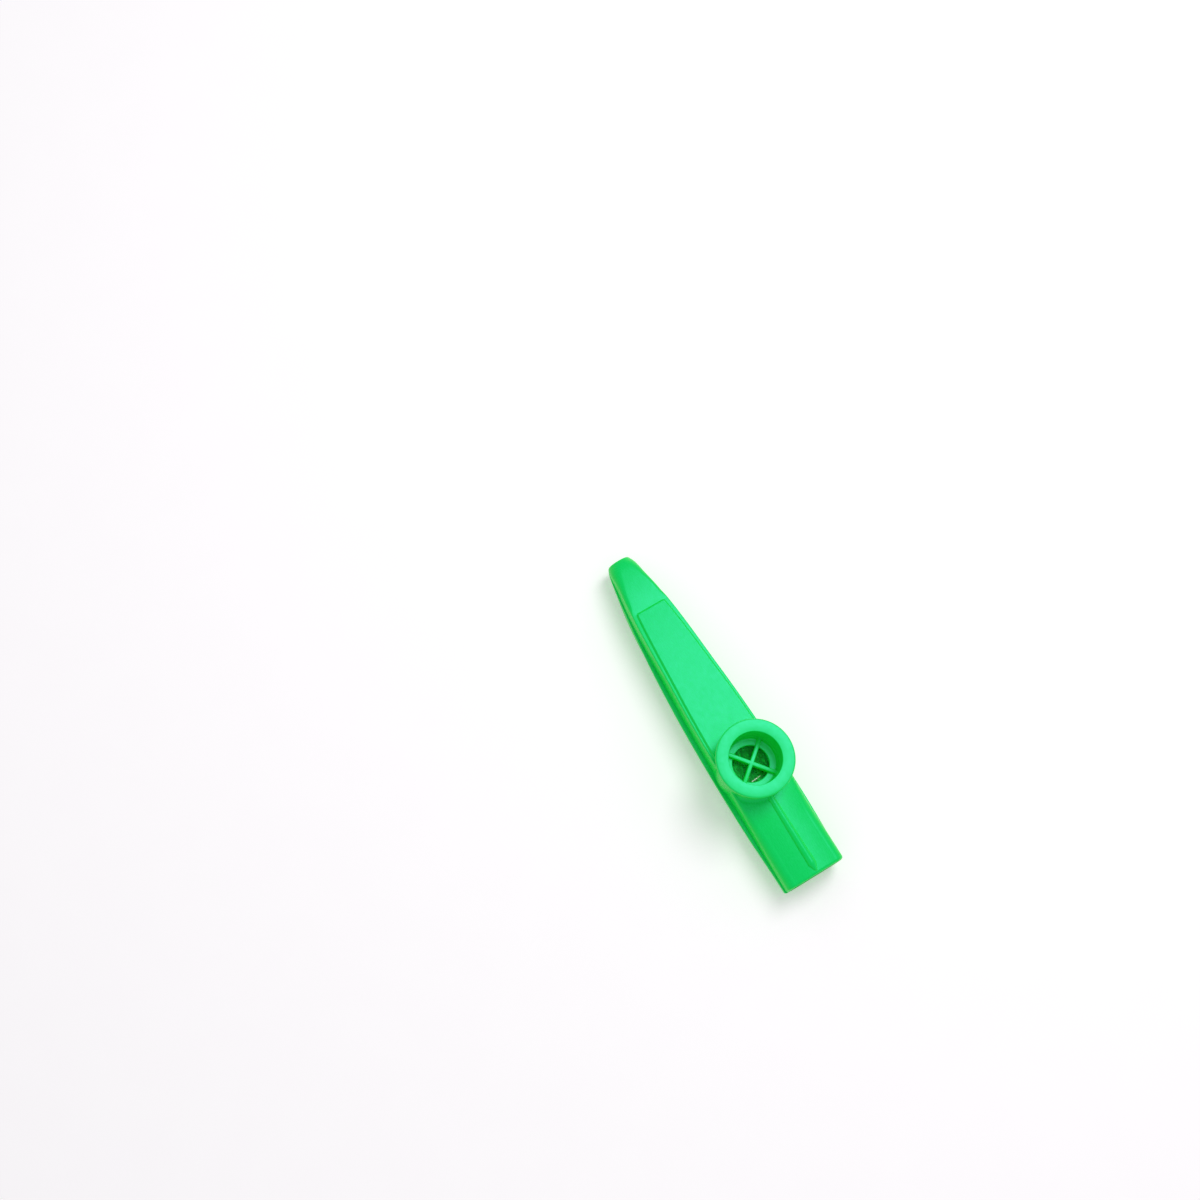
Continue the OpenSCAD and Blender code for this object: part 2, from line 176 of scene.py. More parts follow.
class KazooFinish(bpy.types.PropertyGroup):
    """Colours of the parts. The shell and the cap each come as an upright and an up-facing copy of one
    plastic, which paint light and shade.
    """
    # Painted light: the upright copy is a brighter green that offsets the shade on upright faces, and
    # the up-facing copy is a bluer green that stands in for the lamp's sheen on the tops
    shell: colour("Shell", "Plastic of the two shells", (0.005, 0.90, 0.065))
    shell_sheen_top: colour("Shell, top", "The same plastic on faces that look up", (0.0, 0.72, 0.095))
    # Painted light, as for the shell: a brighter upright copy and a bluer up-facing copy of one plastic
    cap: colour("Cap", "Plastic of the turret cap", (0.003, 0.84, 0.07))
    cap_sheen_top: colour("Cap, top", "The same plastic on faces that look up", (0.01, 0.76, 0.125))
    film: colour("Film", "The membrane's film", (0.0, 0.85, 0.09))
    ring: colour("Ring", "The membrane's ring", (0.80, 0.78, 0.68))
    floor: colour("Floor", "The surface below", (0.93, 0.90, 0.93))


class KazooStage(bpy.types.PropertyGroup):
    """Camera, light and floor."""
    azimuth: turn("Azimuth", "Turn of the view about the upright axis", 39.8)
    elevation: turn("Elevation", "Height of the view above the horizon", 74.15)
    roll: turn("Roll", "Turn of the camera about its own axis", 19.37)
    distance: size("Distance", "From the camera to its aim", 0.7)
    aim_z: size("Aim height", "Height of the camera's aim", 10 * MM)
    lens: FloatProperty(name="Lens", description="Focal length of the camera", default=65.05,
                        min=1, unit="CAMERA")
    across: FloatProperty(name="Across", description="The aim's place across the view",
                          default=-37.41 * MM, unit="LENGTH")
    up: FloatProperty(name="Up", description="The aim's place up the view",
                      default=37.39 * MM, unit="LENGTH")
    lamp: share("Lamp", "Power of the oval lamp in watts", 2.3)
    lamp_at: FloatVectorProperty(name="Lamp place", description="Where the lamp hangs", size=3,
                                 default=(-0.128, 0.2865, 0.686), subtype="TRANSLATION",
                                 unit="LENGTH")
    lamp_width: size("Lamp width", "Width of the lamp", 0.32)
    lamp_length: size("Lamp length", "Length of the lamp", 0.49)
    sky: share("Sky", "Strength of the even light from all round", 0.52)
    glow: share("Glow", "How much lighter than its own light the floor looks", 0.24)
    floor_reach: size("Floor reach", "From the floor's middle to its edges", 1.5)


def mix(a, b, t):
    """The value at a share t of the way from a to b."""
    return a + (b - a) * t


def held(t):
    """A share held between 0 and 1."""
    return min(max(t, 0.0), 1.0)


def ease(t):
    """A share that starts and ends gently."""
    t = held(t)
    return t * t * (3 - 2 * t)


def ease_out(t):
    """A share that ends gently."""
    return 1 - (1 - held(t)) ** 2


# Length over which the rim, its step and the tongue grow to full size, and their share at the tip
TIP_RUN = 9 * MM
TIP_SHARE = 0.3


class BodyCurves:
    """The body's half widths and heights at a distance s from the tip."""

    def __init__(self, scene):
        self.b = scene.kazoo_body
        self.t = scene.kazoo_turret

    def past_turret(self, s):
        return ease((s - self.t.at) / (self.b.length - self.t.at))

    def domed(self, s):
        return ease((s - self.t.at) / self.b.mouth_run)

    def rim_half(self, s):
        b = self.b
        if s < b.widest_at:
            return mix(b.tip / 2, b.width / 2, 1 - (1 - s / b.widest_at) ** b.swell)
        return mix(b.width / 2, b.mouth_width / 2, ease((s - b.widest_at) / (b.length - b.widest_at)))

    def ledge(self, s):
        b = self.b
        return b.ledge * min(ease((s - b.ledge_from) / b.ledge_run), ease((b.length - s) / b.ledge_end))

    def upper_half(self, s):
        return self.rim_half(s) - self.b.rim_step * ease(s / TIP_RUN) - self.ledge(s)

    def roof(self, s):
        b = self.b
        if s < b.panel_from:
            return mix(b.tip / 2, b.nose, ease_out(s / b.panel_from))
        if s < self.t.at:
            return mix(b.nose, b.crown, ease_out((s - b.panel_from) / (self.t.at - b.panel_from)))
        return mix(b.crown, b.mouth_height + b.dome, self.past_turret(s))

    def drop(self, s):
        """How far the domed roof falls from its middle to its shoulders."""
        return self.b.dome * self.domed(s)

    def shoulder(self, s):
        b = self.b
        nose = mix(b.tip / 2, b.nose_shoulder, ease_out(s / b.nose_run))
        return mix(nose, mix(b.shoulder, b.mouth_shoulder, self.domed(s)),
                   ease((s - b.nose_run) / (b.panel_from - b.nose_run)))

    def keel_depth(self, s):
        return mix(self.b.tip / 2, self.b.seam, ease_out(s / self.b.rests_from))

    def side_half(self, s):
        return self.rim_half(s) - self.b.rim_tuck * self.grown(s) - self.ledge(s)

    def keel_radius(self, s):
        flat = self.b.rest / 2
        return mix(self.b.tip / 2, self.side_half(s) - flat, ease(s / self.b.rests_from))

    def grown(self, s):
        """Share of their full size that the rim and the tongue have."""
        return mix(TIP_SHARE, 1, ease(s / TIP_RUN))

    def trim(self, s):
        """How far the outer faces are rounded back at both ends."""
        def rounded(depth, run, along):
            return depth * (1 - math.sqrt(1 - held(1 - along / run) ** 2))
        b = self.b
        return max(rounded(b.tip_edge, b.tip_edge_run, s),
                   rounded(b.mouth_edge, b.mouth_edge, b.length - s))

    def inset(self, s):
        """From the shell's side to the panel's side."""
        b = self.b
        return mix(b.panel_inset, b.turret_inset,
                   ease_out((s - b.panel_from) / (self.t.at - b.panel_from)))

    def rib(self, s):
        """Half width and height of the rib, which ends in a blunt point."""
        b = self.b
        end = b.length - b.rib_gap
        root = self.t.at + self.t.collar
        along = held((s - root) / (end - b.rib_point - root))
        point = held((s - end + b.rib_point) / b.rib_point)
        return (mix(mix(b.rib_width, b.rib_end_width, along) / 2, b.rib_tip, point),
                mix(mix(b.rib_rise, b.rib_end, along), b.rib_tip, point))

    def relief(self, s, y):
        """Height of the raised panel and the rib over the plain roof."""
        b = self.b
        if s < self.t.at:
            along, across = s - b.panel_from, self.upper_half(s) - self.inset(s) - y
            inside, r, outside = min(along, across), b.panel_corner, b.step_run / 6
            if along < r and across < r:
                inside = r - math.hypot(r - along, r - across)
            return b.panel_rise * ease((inside + outside) / b.step_run)
        half, rise = self.rib(s)
        short = ease((b.length - b.rib_gap - s) / b.rib_tip)
        return rise * short * math.sqrt(max(1 - (y / half) ** 2, 0))


def arc(steps, first=0):
    """Angles that divide a quarter turn evenly."""
    return [math.pi / 2 * k / steps for k in range(first, steps + 1)]


def rounding(x, z, in_x, in_z, steps, upright=False, first=0):
    """Points round a corner at x, z, from its level side or from its upright one."""
    level_x, level_z = (math.cos, math.sin) if upright else (math.sin, math.cos)
    return [(x + in_x * (1 - level_x(a)), z + in_z * (1 - level_z(a))) for a in arc(steps, first)]


# Most of a half width or height that a rounded corner may take, and the least radius inside a shell
CORNER_MOST = 0.94
INNER_LEAST = 0.5 * MM
# Steps round a small moulded edge
EDGE_STEPS = 3
# Where a section of the roof has its points: shares of the rib's half width, mm from the panel's
# side, and how many lie between the two. The panel's side keeps a margin to the shoulder.
RIB_COLUMNS = [math.sin(a) for a in arc(10)] + [1.12, 1.4]
PANEL_COLUMNS = [-1.2, -1.0, -0.85, -0.72, -0.6, -0.5, -0.42, -0.36, -0.3, -0.24, -0.18,
                 -0.12, -0.06, 0, 0.07, 0.16]
PLAIN_COLUMNS = 6
PANEL_MARGIN = 0.2 * MM
# Where the body has its sections: evenly, and closer together where its form changes quickly, in
# shares of the tip's rounding, the mouth end's and the rib's point, and mm from the panel's front
EVEN_PLACES = 84
TIP_PLACES = (0.003, 0.01, 0.025, 0.05, 0.085, 0.13, 0.19, 0.27, 0.4)
MOUTH_PLACES = (0.01, 0.05, 0.12, 0.22, 0.36, 0.55, 0.77, 1)
POINT_PLACES = (0, 0.03, 0.06, 0.09, 0.12, 0.2, 0.32, 0.46, 0.6, 0.74, 0.88, 1)
PANEL_PLACES = (-0.4, -0.15, -0.06, 0, 0.06, 0.12, 0.18, 0.24, 0.3, 0.36, 0.43, 0.52, 0.62, 0.74,
                0.88, 1.05)
NEAREST_PLACES = 0.01 * MM


def corner(radius, *rooms):
    """A corner's radius, held to what the half width and height leave room for."""
    return min(radius, *(room * CORNER_MOST for room in rooms))


def dome_drop(k):
    """Share of its drop that the domed roof has at a share k of its half width."""
    return (k + k * k) / 2


def roof_columns(c, s, flat):
    """Places across the roof at which its section has points, from the middle to the shoulder."""
    foot = min(c.upper_half(s) - c.inset(s), flat - PANEL_MARGIN)
    ys = [k * c.rib(s)[0] for k in RIB_COLUMNS]
    first = foot + PANEL_COLUMNS[0] * MM
    ys += [mix(ys[-1], first, k / (PLAIN_COLUMNS + 1)) for k in range(1, PLAIN_COLUMNS + 1)]
    return ys + [foot + k * MM for k in PANEL_COLUMNS] + [flat]


def upper_strip(c, s):
    """Right half of the upper shell's section, from the roof's middle round to the duct's."""
    b, trim = c.b, c.trim(s)
    half = c.upper_half(s) - trim
    lean = half - b.draft * ease(s / TIP_RUN)
    h, drop = c.roof(s) - trim, c.drop(s)
    r = corner(c.shoulder(s), lean, h - drop)
    flat, spring = lean - r, h - drop - r
    if s < b.panel_from:
        # In front of the panel the columns of its front edge run on, drawn together
        front = c.upper_half(b.panel_from) - b.draft - b.shoulder
        ys = [y / front * flat for y in roof_columns(c, b.panel_from, front)]
    else:
        ys = roof_columns(c, s, flat)
    strip = [(y, h - drop * dome_drop(y / flat) + c.relief(s, y)) for y in ys]
    strip += [(flat + r * math.sin(a), spring + r * math.cos(a)) for a in arc(12, 1)]
    e = min(b.edge, spring * 0.4)
    strip += [(mix(half, lean, k), mix(e, spring, k)) for k in (0.75, 0.5, 0.25)]
    strip += rounding(half, 0, -e, e, EDGE_STEPS, upright=True)
    low = b.tongue * c.grown(s)
    tongue = min(c.upper_half(s) - b.wall / 2, half - 2 * e) - b.tongue_gap
    inside = c.upper_half(s) - b.wall
    strip += [(tongue, 0), (tongue, -low * 0.5), (tongue, -low), (inside, -low), (inside, 0)]
    hi = c.roof(s) - b.wall
    ri = corner(max(c.shoulder(s) - b.wall, INNER_LEAST), inside, hi - drop)
    fi = inside - ri
    strip += [(fi + ri * math.cos(a), hi - drop - ri + ri * math.sin(a)) for a in arc(6)]
    strip += [(fi * k, hi - drop * dome_drop(k)) for k in (0.75, 0.5, 0.25, 0)]
    return strip


def lower_strip(c, s):
    """Right half of the lower shell's section, from the keel's middle round to the cavity's."""
    b, trim = c.b, c.trim(s)
    half, side = c.rim_half(s) - trim, c.side_half(s) - trim
    h, band = c.keel_depth(s) - trim, b.rim_band * c.grown(s)
    e = min(b.edge, band * 0.3)
    r = corner(min(c.keel_radius(s), h - band - 1.5 * e), side, h)
    flat = side - r
    strip = [(flat * k, -h) for k in (0, 0.25, 0.5, 0.75)]
    strip += [(flat + r * math.sin(a), -h + r * (1 - math.cos(a))) for a in arc(14)]
    strip += [(side, mix(-h + r, -band - e, k)) for k in (0.5, 1)]
    strip += [(side + 0.3 * e, -band - 0.3 * e), (mix(side, half, 0.55), -band)]
    strip += rounding(half, -band, -e, e, EDGE_STEPS)
    strip += [(half, -band * 0.5)]
    strip += rounding(half, 0, -e, -e, EDGE_STEPS, upright=True)
    room = min(c.upper_half(s) - b.wall / 2, half - 2 * e)
    low = b.tongue * c.grown(s) + b.tongue_gap
    inside = c.rim_half(s) - b.rim_tuck - c.ledge(s) - b.wall
    strip += [(room, 0), (room, -low * 0.5), (room, -low), (inside, -low)]
    hi = c.keel_depth(s) - b.wall
    ri = corner(max(c.keel_radius(s) - b.wall, INNER_LEAST), inside, hi)
    fi = inside - ri
    strip += [(fi + ri * math.cos(a), -hi + ri * (1 - math.sin(a))) for a in arc(8)]
    strip += [(fi * k, -hi) for k in (0.75, 0.5, 0.25, 0)]
    return strip


def stations(c):
    """Places along the body at which it has a section."""
    b = c.b
    end = b.length - b.rib_gap
    places = {k * b.length / EVEN_PLACES for k in range(EVEN_PLACES + 1)}
    places |= {b.tip_edge_run * k for k in TIP_PLACES}
    places |= {b.length - b.mouth_edge * k for k in MOUTH_PLACES}
    places |= {b.panel_from + k * MM for k in PANEL_PLACES}
    places |= {end - b.rib_point * k for k in POINT_PLACES}
    kept = []
    for s in sorted(places):
        if not kept or s - kept[-1] > NEAREST_PLACES:
            kept.append(s)
    return kept


def swept_shell(c, strip_at):
    """A bmesh swept from the tip to the mouth end through a strip and its mirror image."""
    bm = bmesh.new()
    places = stations(c)
    strips = [strip_at(c, s) for s in places]
    along, round_it = len(places) - 1, len(strips[0]) - 1
    bmesh.ops.create_grid(bm, x_segments=along, y_segments=round_it, size=1)
    for v in bm.verts:
        i = round((v.co.x + 1) / 2 * along)
        j = round((v.co.y + 1) / 2 * round_it)
        y, z = strips[i][j]
        v.co = (places[i] + BODY_LOW[0], y, c.b.seam + z)
    bmesh.ops.mirror(bm, geom=bm.verts[:] + bm.edges[:] + bm.faces[:], axis="Y",
                     matrix=Matrix.Identity(4), merge_dist=MERGE_DIST)
    bmesh.ops.remove_doubles(bm, verts=bm.verts, dist=MERGE_DIST)
    open_edges = [edge for edge in bm.edges if edge.is_boundary]
    bmesh.ops.edgeloop_fill(bm, edges=open_edges)
    bmesh.ops.recalc_face_normals(bm, faces=bm.faces)
    return bm


# Steps round the collar and the cap
TURRET_STEPS = 160


def turned(outline, steps=TURRET_STEPS, closed=True):
    """A bmesh of an outline of radius and height, turned about the turret's axis.

    A closed outline makes a solid, whose faces then point outwards."""
    bm = bmesh.new()
    points = [bm.verts.new((TURRET_X + r, 0, z)) for r, z in outline]
    edges = [bm.edges.new((points[k - 1], points[k]))
             for k in range(0 if closed else 1, len(points))]
    bmesh.ops.spin(bm, geom=points + edges, cent=(TURRET_X, 0, 0), axis=(0, 0, 1),
                   angle=2 * math.pi, steps=steps, use_merge=True, use_duplicate=False)
    bmesh.ops.remove_doubles(bm, verts=bm.verts, dist=MERGE_DIST)
    if closed:
        bmesh.ops.recalc_face_normals(bm, faces=bm.faces)
    return bm


def finished(name, bm, sharp=40):
    """A shown object from a bmesh, shaded smooth but for edges over an angle in degrees."""
    mesh = bpy.data.meshes.new(name)
    bm.to_mesh(mesh)
    bm.free()
    mesh.shade_smooth()
    mesh.set_sharp_from_angle(angle=math.radians(sharp))
    piece = bpy.data.objects.new(name, mesh)
    bpy.context.scene.collection.objects.link(piece)
    return piece


# A cut that leaves fewer faces than this has failed
FEWEST_FACES = 100


def cut_away(piece, cutter):
    """Cuts one object's solid out of another's and removes the cutter."""
    step = piece.modifiers.new("cut", "BOOLEAN")
    step.object, step.operation, step.solver = cutter, "DIFFERENCE", "EXACT"
    bpy.context.view_layer.update()
    ready = piece.evaluated_get(bpy.context.evaluated_depsgraph_get())
    mesh = bpy.data.meshes.new_from_object(ready)
    if len(mesh.polygons) < FEWEST_FACES:
        raise RuntimeError(f"cutting {piece.name} left nothing")
    piece.modifiers.clear()
    piece.data = mesh
    bpy.data.objects.remove(cutter)


def replace_node(piece, node, body, material):
    """Puts a finished piece in a node's place, on its body and with its material."""
    piece.data.materials.clear()
    piece.data.materials.append(material)
    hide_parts(node)
    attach(piece, body)


class Nodes:
    """Short calls for building the nodes of a material or a world."""

    def __init__(self, owner, output="OutputMaterial"):
        self.owner = owner
        owner.use_nodes = True
        self.tree = owner.node_tree
        self.tree.nodes.clear()
        self.out = self.add(output)

    def add(self, kind, inputs=(), **settings):
        """A node with its settings, its inputs linked to sockets or set to values."""
        node = self.tree.nodes.new("ShaderNode" + kind)
        for key, value in settings.items():
            setattr(node, key, value)
        for key, value in dict(inputs).items():
            if isinstance(value, bpy.types.NodeSocket):
                self.tree.links.new(value, node.inputs[key])
            else:
                node.inputs[key].default_value = value
        return node

    def place(self):
        """Object coordinates."""
        return self.add("TexCoord").outputs["Object"]

    def mapped(self, place, scale, turned=0.0):
        """Coordinates stretched, and turned about the upright axis, for a pattern."""
        return self.add("Mapping", {"Vector": place, "Scale": scale,
                                    "Rotation": (0, 0, turned)}).outputs["Vector"]

    def noise(self, place, scale, detail=3.0, roughness=0.5):
        return self.add("TexNoise", {"Vector": place, "Scale": scale, "Detail": detail,
                                     "Roughness": roughness}).outputs["Fac"]

    def range(self, value, low, high, to_low=0.0, to_high=1.0):
        return self.add("MapRange", {"Value": value, "From Min": low, "From Max": high,
                                     "To Min": to_low, "To Max": to_high}).outputs["Result"]

    def math(self, kind, a, b):
        return self.add("Math", {0: a, 1: b}, operation=kind).outputs["Value"]

    def blend(self, factor, a, b):
        """Colour a blended into colour b."""
        node = self.add("Mix", {"Factor": factor}, data_type="RGBA")
        for socket, value in ((node.inputs[6], a), (node.inputs[7], b)):
            if isinstance(value, bpy.types.NodeSocket):
                self.tree.links.new(value, socket)
            else:
                socket.default_value = (*value, 1)
        return node.outputs[2]

    def bump(self, height, depth, strength, over=None):
        """Normals of a fine relief, laid over another relief where one is given."""
        inputs = {"Height": height, "Distance": depth, "Strength": strength}
        if over is not None:
            inputs["Normal"] = over
        return self.add("Bump", inputs).outputs["Normal"]

    def shown_as(self, lit, shown):
        """The light of one shader, and the look of another to the camera and in reflections."""
        path = self.add("LightPath")
        seen = path.outputs["Is Camera Ray"]
        for ray in ("Is Glossy Ray", "Is Transmission Ray"):
            seen = self.math("MAXIMUM", seen, path.outputs[ray])
        return self.add("MixShader", {0: seen, 1: lit, 2: shown}).outputs["Shader"]

    def finish(self, shader):
        """Ends in a shader, and hands back the material or the world."""
        self.tree.links.new(shader, self.out.inputs["Surface"])
        return self.owner

    def finish_plastic(self, **inputs):
        """Ends in a shader of plastic, with its inputs named in plain words."""
        sockets = {"colour": "Base Color", "rough": "Roughness", "normal": "Normal",
                   "level": "Specular IOR Level", "tint": "Specular Tint", "index": "IOR",
                   "alpha": "Alpha"}
        shader = self.add("BsdfPrincipled", {sockets[key]: value for key, value in inputs.items()})
        return self.finish(shader.outputs["BSDF"])


# Refractive index of the moulded plastic and the film
PLASTIC_INDEX = 1.5
# Green of the flow pattern, tint of the shell's and the cap's shine, and its level on upright faces
FLOW_TONE = (0.0, 0.60, 0.11)
SHINE_TINT = (0.17, 0.95, 1.0, 1.0)
SIDE_SHINE = 0.18


def moulded_plastic(name, side, top, shine=0.62, dull=0.25):
    """Glossy moulded plastic with a faint flow pattern, mottling, fine grain and scuffs, its colour
    turning from an upright copy to an up-facing one as painted light and sheen.
    """
    n = Nodes(bpy.data.materials.new(name))
    place = n.place()
    normal = n.add("NewGeometry").outputs["Normal"]
    up = n.add("SeparateXYZ", {"Vector": normal}).outputs["Z"]
    # Painted light and sheen: the colour turns from the brighter upright copy to the bluer up-facing
    # copy as the face looks up
    base = n.blend(n.range(up, 0.35, 0.95), side, top)
    flow = n.noise(n.mapped(place, (0.4, 1, 1)), 160, detail=4, roughness=0.55)
    base = n.blend(n.range(flow, 0.3, 0.75, 0, 0.12), base, FLOW_TONE)
    grain = n.noise(place, 2600, roughness=0.6)
    scuffs = n.noise(n.mapped(place, (1, 9, 9), 0.4), 700, detail=2, roughness=0.7)
    mottle = n.range(n.noise(place, 750, roughness=0.6), 0.3, 0.7, 0.84, 1.12)
    waves = n.bump(flow, 0.12 * MM, 0.35)
    return n.finish_plastic(
        colour=base, rough=n.range(scuffs, 0.45, 0.8, dull, dull + 0.14), index=PLASTIC_INDEX,
        normal=n.bump(grain, 0.012 * MM, 0.5, over=waves), tint=SHINE_TINT,
        level=n.math("MULTIPLY", n.range(up, 0.1, 0.95, SIDE_SHINE, shine), mottle))


# Tone of the film's streaks as a share of its own, the pale colour painted on its pleats as a glint,
# and how much it hides
STREAK_SHARE = 0.35
PLEAT_GLINT_TONE = (0.5, 0.8, 0.5)
FILM_ALPHA = 0.55


def crinkled_film(name, tone):
    """Thin see-through film with streaks, and a few pleats that are glossier and painted paler as a
    glint.
    """
    n = Nodes(bpy.data.materials.new(name))
    place = n.place()
    pleat = n.add("Attribute", attribute_name="pleat").outputs["Fac"]
    streaks = n.noise(n.mapped(place, (1, 2.8, 1), 0.9), 620, detail=4, roughness=0.6)
    soft = n.noise(place, 420, roughness=0.55)
    tint = n.blend(n.range(streaks, 0.38, 0.66), tuple(k * STREAK_SHARE for k in tone), tone)
    return n.finish_plastic(
        # Painted glint: the pleats are blended towards a pale colour, and they are also smoother and
        # glossier
        colour=n.blend(n.range(pleat, 0.2, 1, 0, 0.7), tint, PLEAT_GLINT_TONE),
        rough=n.range(pleat, 0.2, 0.8, 0.5, 0.14), index=PLASTIC_INDEX, alpha=FILM_ALPHA,
        normal=n.bump(streaks, 0.08 * MM, 0.6, over=n.bump(soft, 0.3 * MM, 0.5)),
        level=n.range(pleat, 0.2, 0.8, 0.08, 1.0))


# Tone of the ring's speckles as a share of its own
SPECKLE_SHARE = 0.82


def stiff_ring(name, tone):
    """Satin cream plastic with fine speckles."""
    n = Nodes(bpy.data.materials.new(name))
    speckle = n.noise(n.place(), 1800, detail=4, roughness=0.6)
    darker = tuple(k * SPECKLE_SHARE for k in tone)
    return n.finish_plastic(
        colour=n.blend(n.range(speckle, 0.35, 0.7, 0, 0.35), tone, darker),
        rough=n.range(speckle, 0.3, 0.7, 0.42, 0.56),
        normal=n.bump(speckle, 0.03 * MM, 0.4), level=0.4)


def plain_floor(name, tone, glow):
    """Pale surface that looks lighter than it is lit, and keeps the part's shadow."""
    n = Nodes(bpy.data.materials.new(name))
    base = n.blend(n.range(n.noise(n.place(), 60, detail=2), 0.4, 0.6, 0, 0.05), tone, WHITE[:3])
    lit = n.add("BsdfDiffuse", {"Color": base}).outputs["BSDF"]
    light = n.add("Emission", {"Color": WHITE, "Strength": glow}).outputs["Emission"]
    shown = n.add("AddShader", {0: lit, 1: light}).outputs["Shader"]
    return n.finish(n.shown_as(lit, shown))


def even_light(name, sky):
    """World of even light that shows as plain white."""
    n = Nodes(bpy.data.worlds.new(name), "OutputWorld")
    lit, shown = (n.add("Background", {"Color": WHITE, "Strength": strength}).outputs["Background"]
                  for strength in (sky, 1))
    return n.finish(n.shown_as(lit, shown))


# Width of the camera's sensor in mm, and the nearest that the camera sees
SENSOR = 36
NEAR = 10 * MM


def aimed_camera(scene, stage):
    """Adds the camera, its aim moved across and up the view from a place over the origin."""
    az, el, roll = stage.azimuth, stage.elevation, stage.roll
    back = Vector((math.cos(el) * math.sin(az), -math.cos(el) * math.cos(az), math.sin(el)))
    right = Vector((math.cos(az), math.sin(az), 0))
    up = back.cross(right)
    across = math.cos(roll) * right + math.sin(roll) * up
    upward = math.cos(roll) * up - math.sin(roll) * right
    aim = Vector((0, 0, stage.aim_z)) + stage.across * across + stage.up * upward
    lens = bpy.data.cameras.new("camera")
    lens.lens, lens.sensor_width, lens.sensor_fit = stage.lens, SENSOR, "AUTO"
    lens.clip_start = NEAR
    camera = bpy.data.objects.new("camera", lens)
    scene.collection.objects.link(camera)
    camera.matrix_world = Matrix.Translation(aim + stage.distance * back) @ Matrix(
        (across, upward, back)).transposed().to_4x4()
    scene.camera = camera


def oval_lamp(scene, stage):
    """Adds the one lamp, which faces the origin."""
    light = bpy.data.lights.new("key", "AREA")
    light.shape, light.energy = "ELLIPSE", stage.lamp
    light.size, light.size_y = stage.lamp_width, stage.lamp_length
    lamp = bpy.data.objects.new("key", light)
    scene.collection.objects.link(lamp)
    lamp.location = stage.lamp_at
    lamp.rotation_euler = lamp.location.to_track_quat("Z", "Y").to_euler()


class KAZOO_OT_stage(bpy.types.Operator):
    """Adds the camera, the lamp, the world and the floor"""
    bl_idname = "kazoo.stage"
    bl_label = "Stage"

    def execute(self, context):
        scene = context.scene
        stage = scene.kazoo_stage
        aimed_camera(scene, stage)
        oval_lamp(scene, stage)
        scene.world = even_light("even light", stage.sky)
        scene.view_settings.view_transform = "Standard"
        bm = bmesh.new()
        bmesh.ops.create_grid(bm, x_segments=1, y_segments=1, size=stage.floor_reach)
        floor = finished("floor", bm)
        floor.data.materials.append(plain_floor("white floor", scene.kazoo_finish.floor, stage.glow))
        return {"FINISHED"}


class KAZOO_OT_lower_shell(bpy.types.Operator):
    """Adds the boat-shaped lower shell with its rim"""
    bl_idname = "kazoo.lower_shell"
    bl_label = "Lower shell"

    def execute(self, context):
        finish = context.scene.kazoo_finish
        bm = swept_shell(BodyCurves(context.scene), lower_strip)
        piece = finished("lower_body", bm)
        replace_node(piece, "lower_shell", "body",
                     moulded_plastic("shell plastic, lower", finish.shell, finish.shell_sheen_top))
        return {"FINISHED"}


# Bevel at the collar's mouth and at the end of the cap's tube, and rounding of the collar's outer edge
LEAD = 0.25 * MM
COLLAR_EDGE = 0.2 * MM
SEAT_EDGE = 0.15 * MM
# Depths below the roof of the foot's edge, of the foot and of the corner where it meets the collar
FOOT_DEPTHS = (0.12 * MM, 0.6 * MM, 0.7 * MM)
# The foot runs out over this length, to this share of the shoulder's radius inside the shell's side
FOOT_FADE = 2.4 * MM
FOOT_END = 0.7
# From the collar's outside to the inner corner of its underside
COLLAR_STEP = 0.9 * MM
# The hole for the collar is narrower than the collar's outside and ends above its underside
HOLE_INSIDE = 0.4 * MM
HOLE_ABOVE = 0.2 * MM
HOLE_DEPTH = 20 * MM
HOLE_STEPS = 128


def turret_hole(t):
    """A cylinder that cuts the collar's place out of the upper shell."""
    hole = bmesh.new()
    r, low = t.collar - HOLE_INSIDE, t.seat - t.seat_t + HOLE_ABOVE
    bmesh.ops.create_cone(hole, cap_ends=True, segments=HOLE_STEPS, radius1=r, radius2=r,
                          depth=HOLE_DEPTH,
                          matrix=Matrix.Translation((TURRET_X, 0, low + HOLE_DEPTH / 2)))
    return finished("hole", hole)


def collar_outline(t, roof):
    """Radius and height round the collar, its foot and the seat."""
    under, (edge, foot, root) = t.seat - t.seat_t, FOOT_DEPTHS
    outline = [(t.collar_in, t.seat), (t.collar_in, t.collar_top - LEAD),
               (t.collar_in + LEAD, t.collar_top)]
    outline += rounding(t.collar, t.collar_top, -COLLAR_EDGE, -COLLAR_EDGE, EDGE_STEPS)
    outline += rounding(t.collar, roof, t.foot, t.foot, 10, upright=True)
    outline += [(t.collar + t.foot, roof - edge), (t.collar + 0.6 * t.foot, roof - foot),
                (t.collar, roof - root), (t.collar, under), (t.collar - COLLAR_STEP, under)]
    return outline + [(t.seat_hole + SEAT_EDGE, under), (t.seat_hole, under + SEAT_EDGE),
                      (t.seat_hole, t.seat - SEAT_EDGE), (t.seat_hole + SEAT_EDGE, t.seat)]


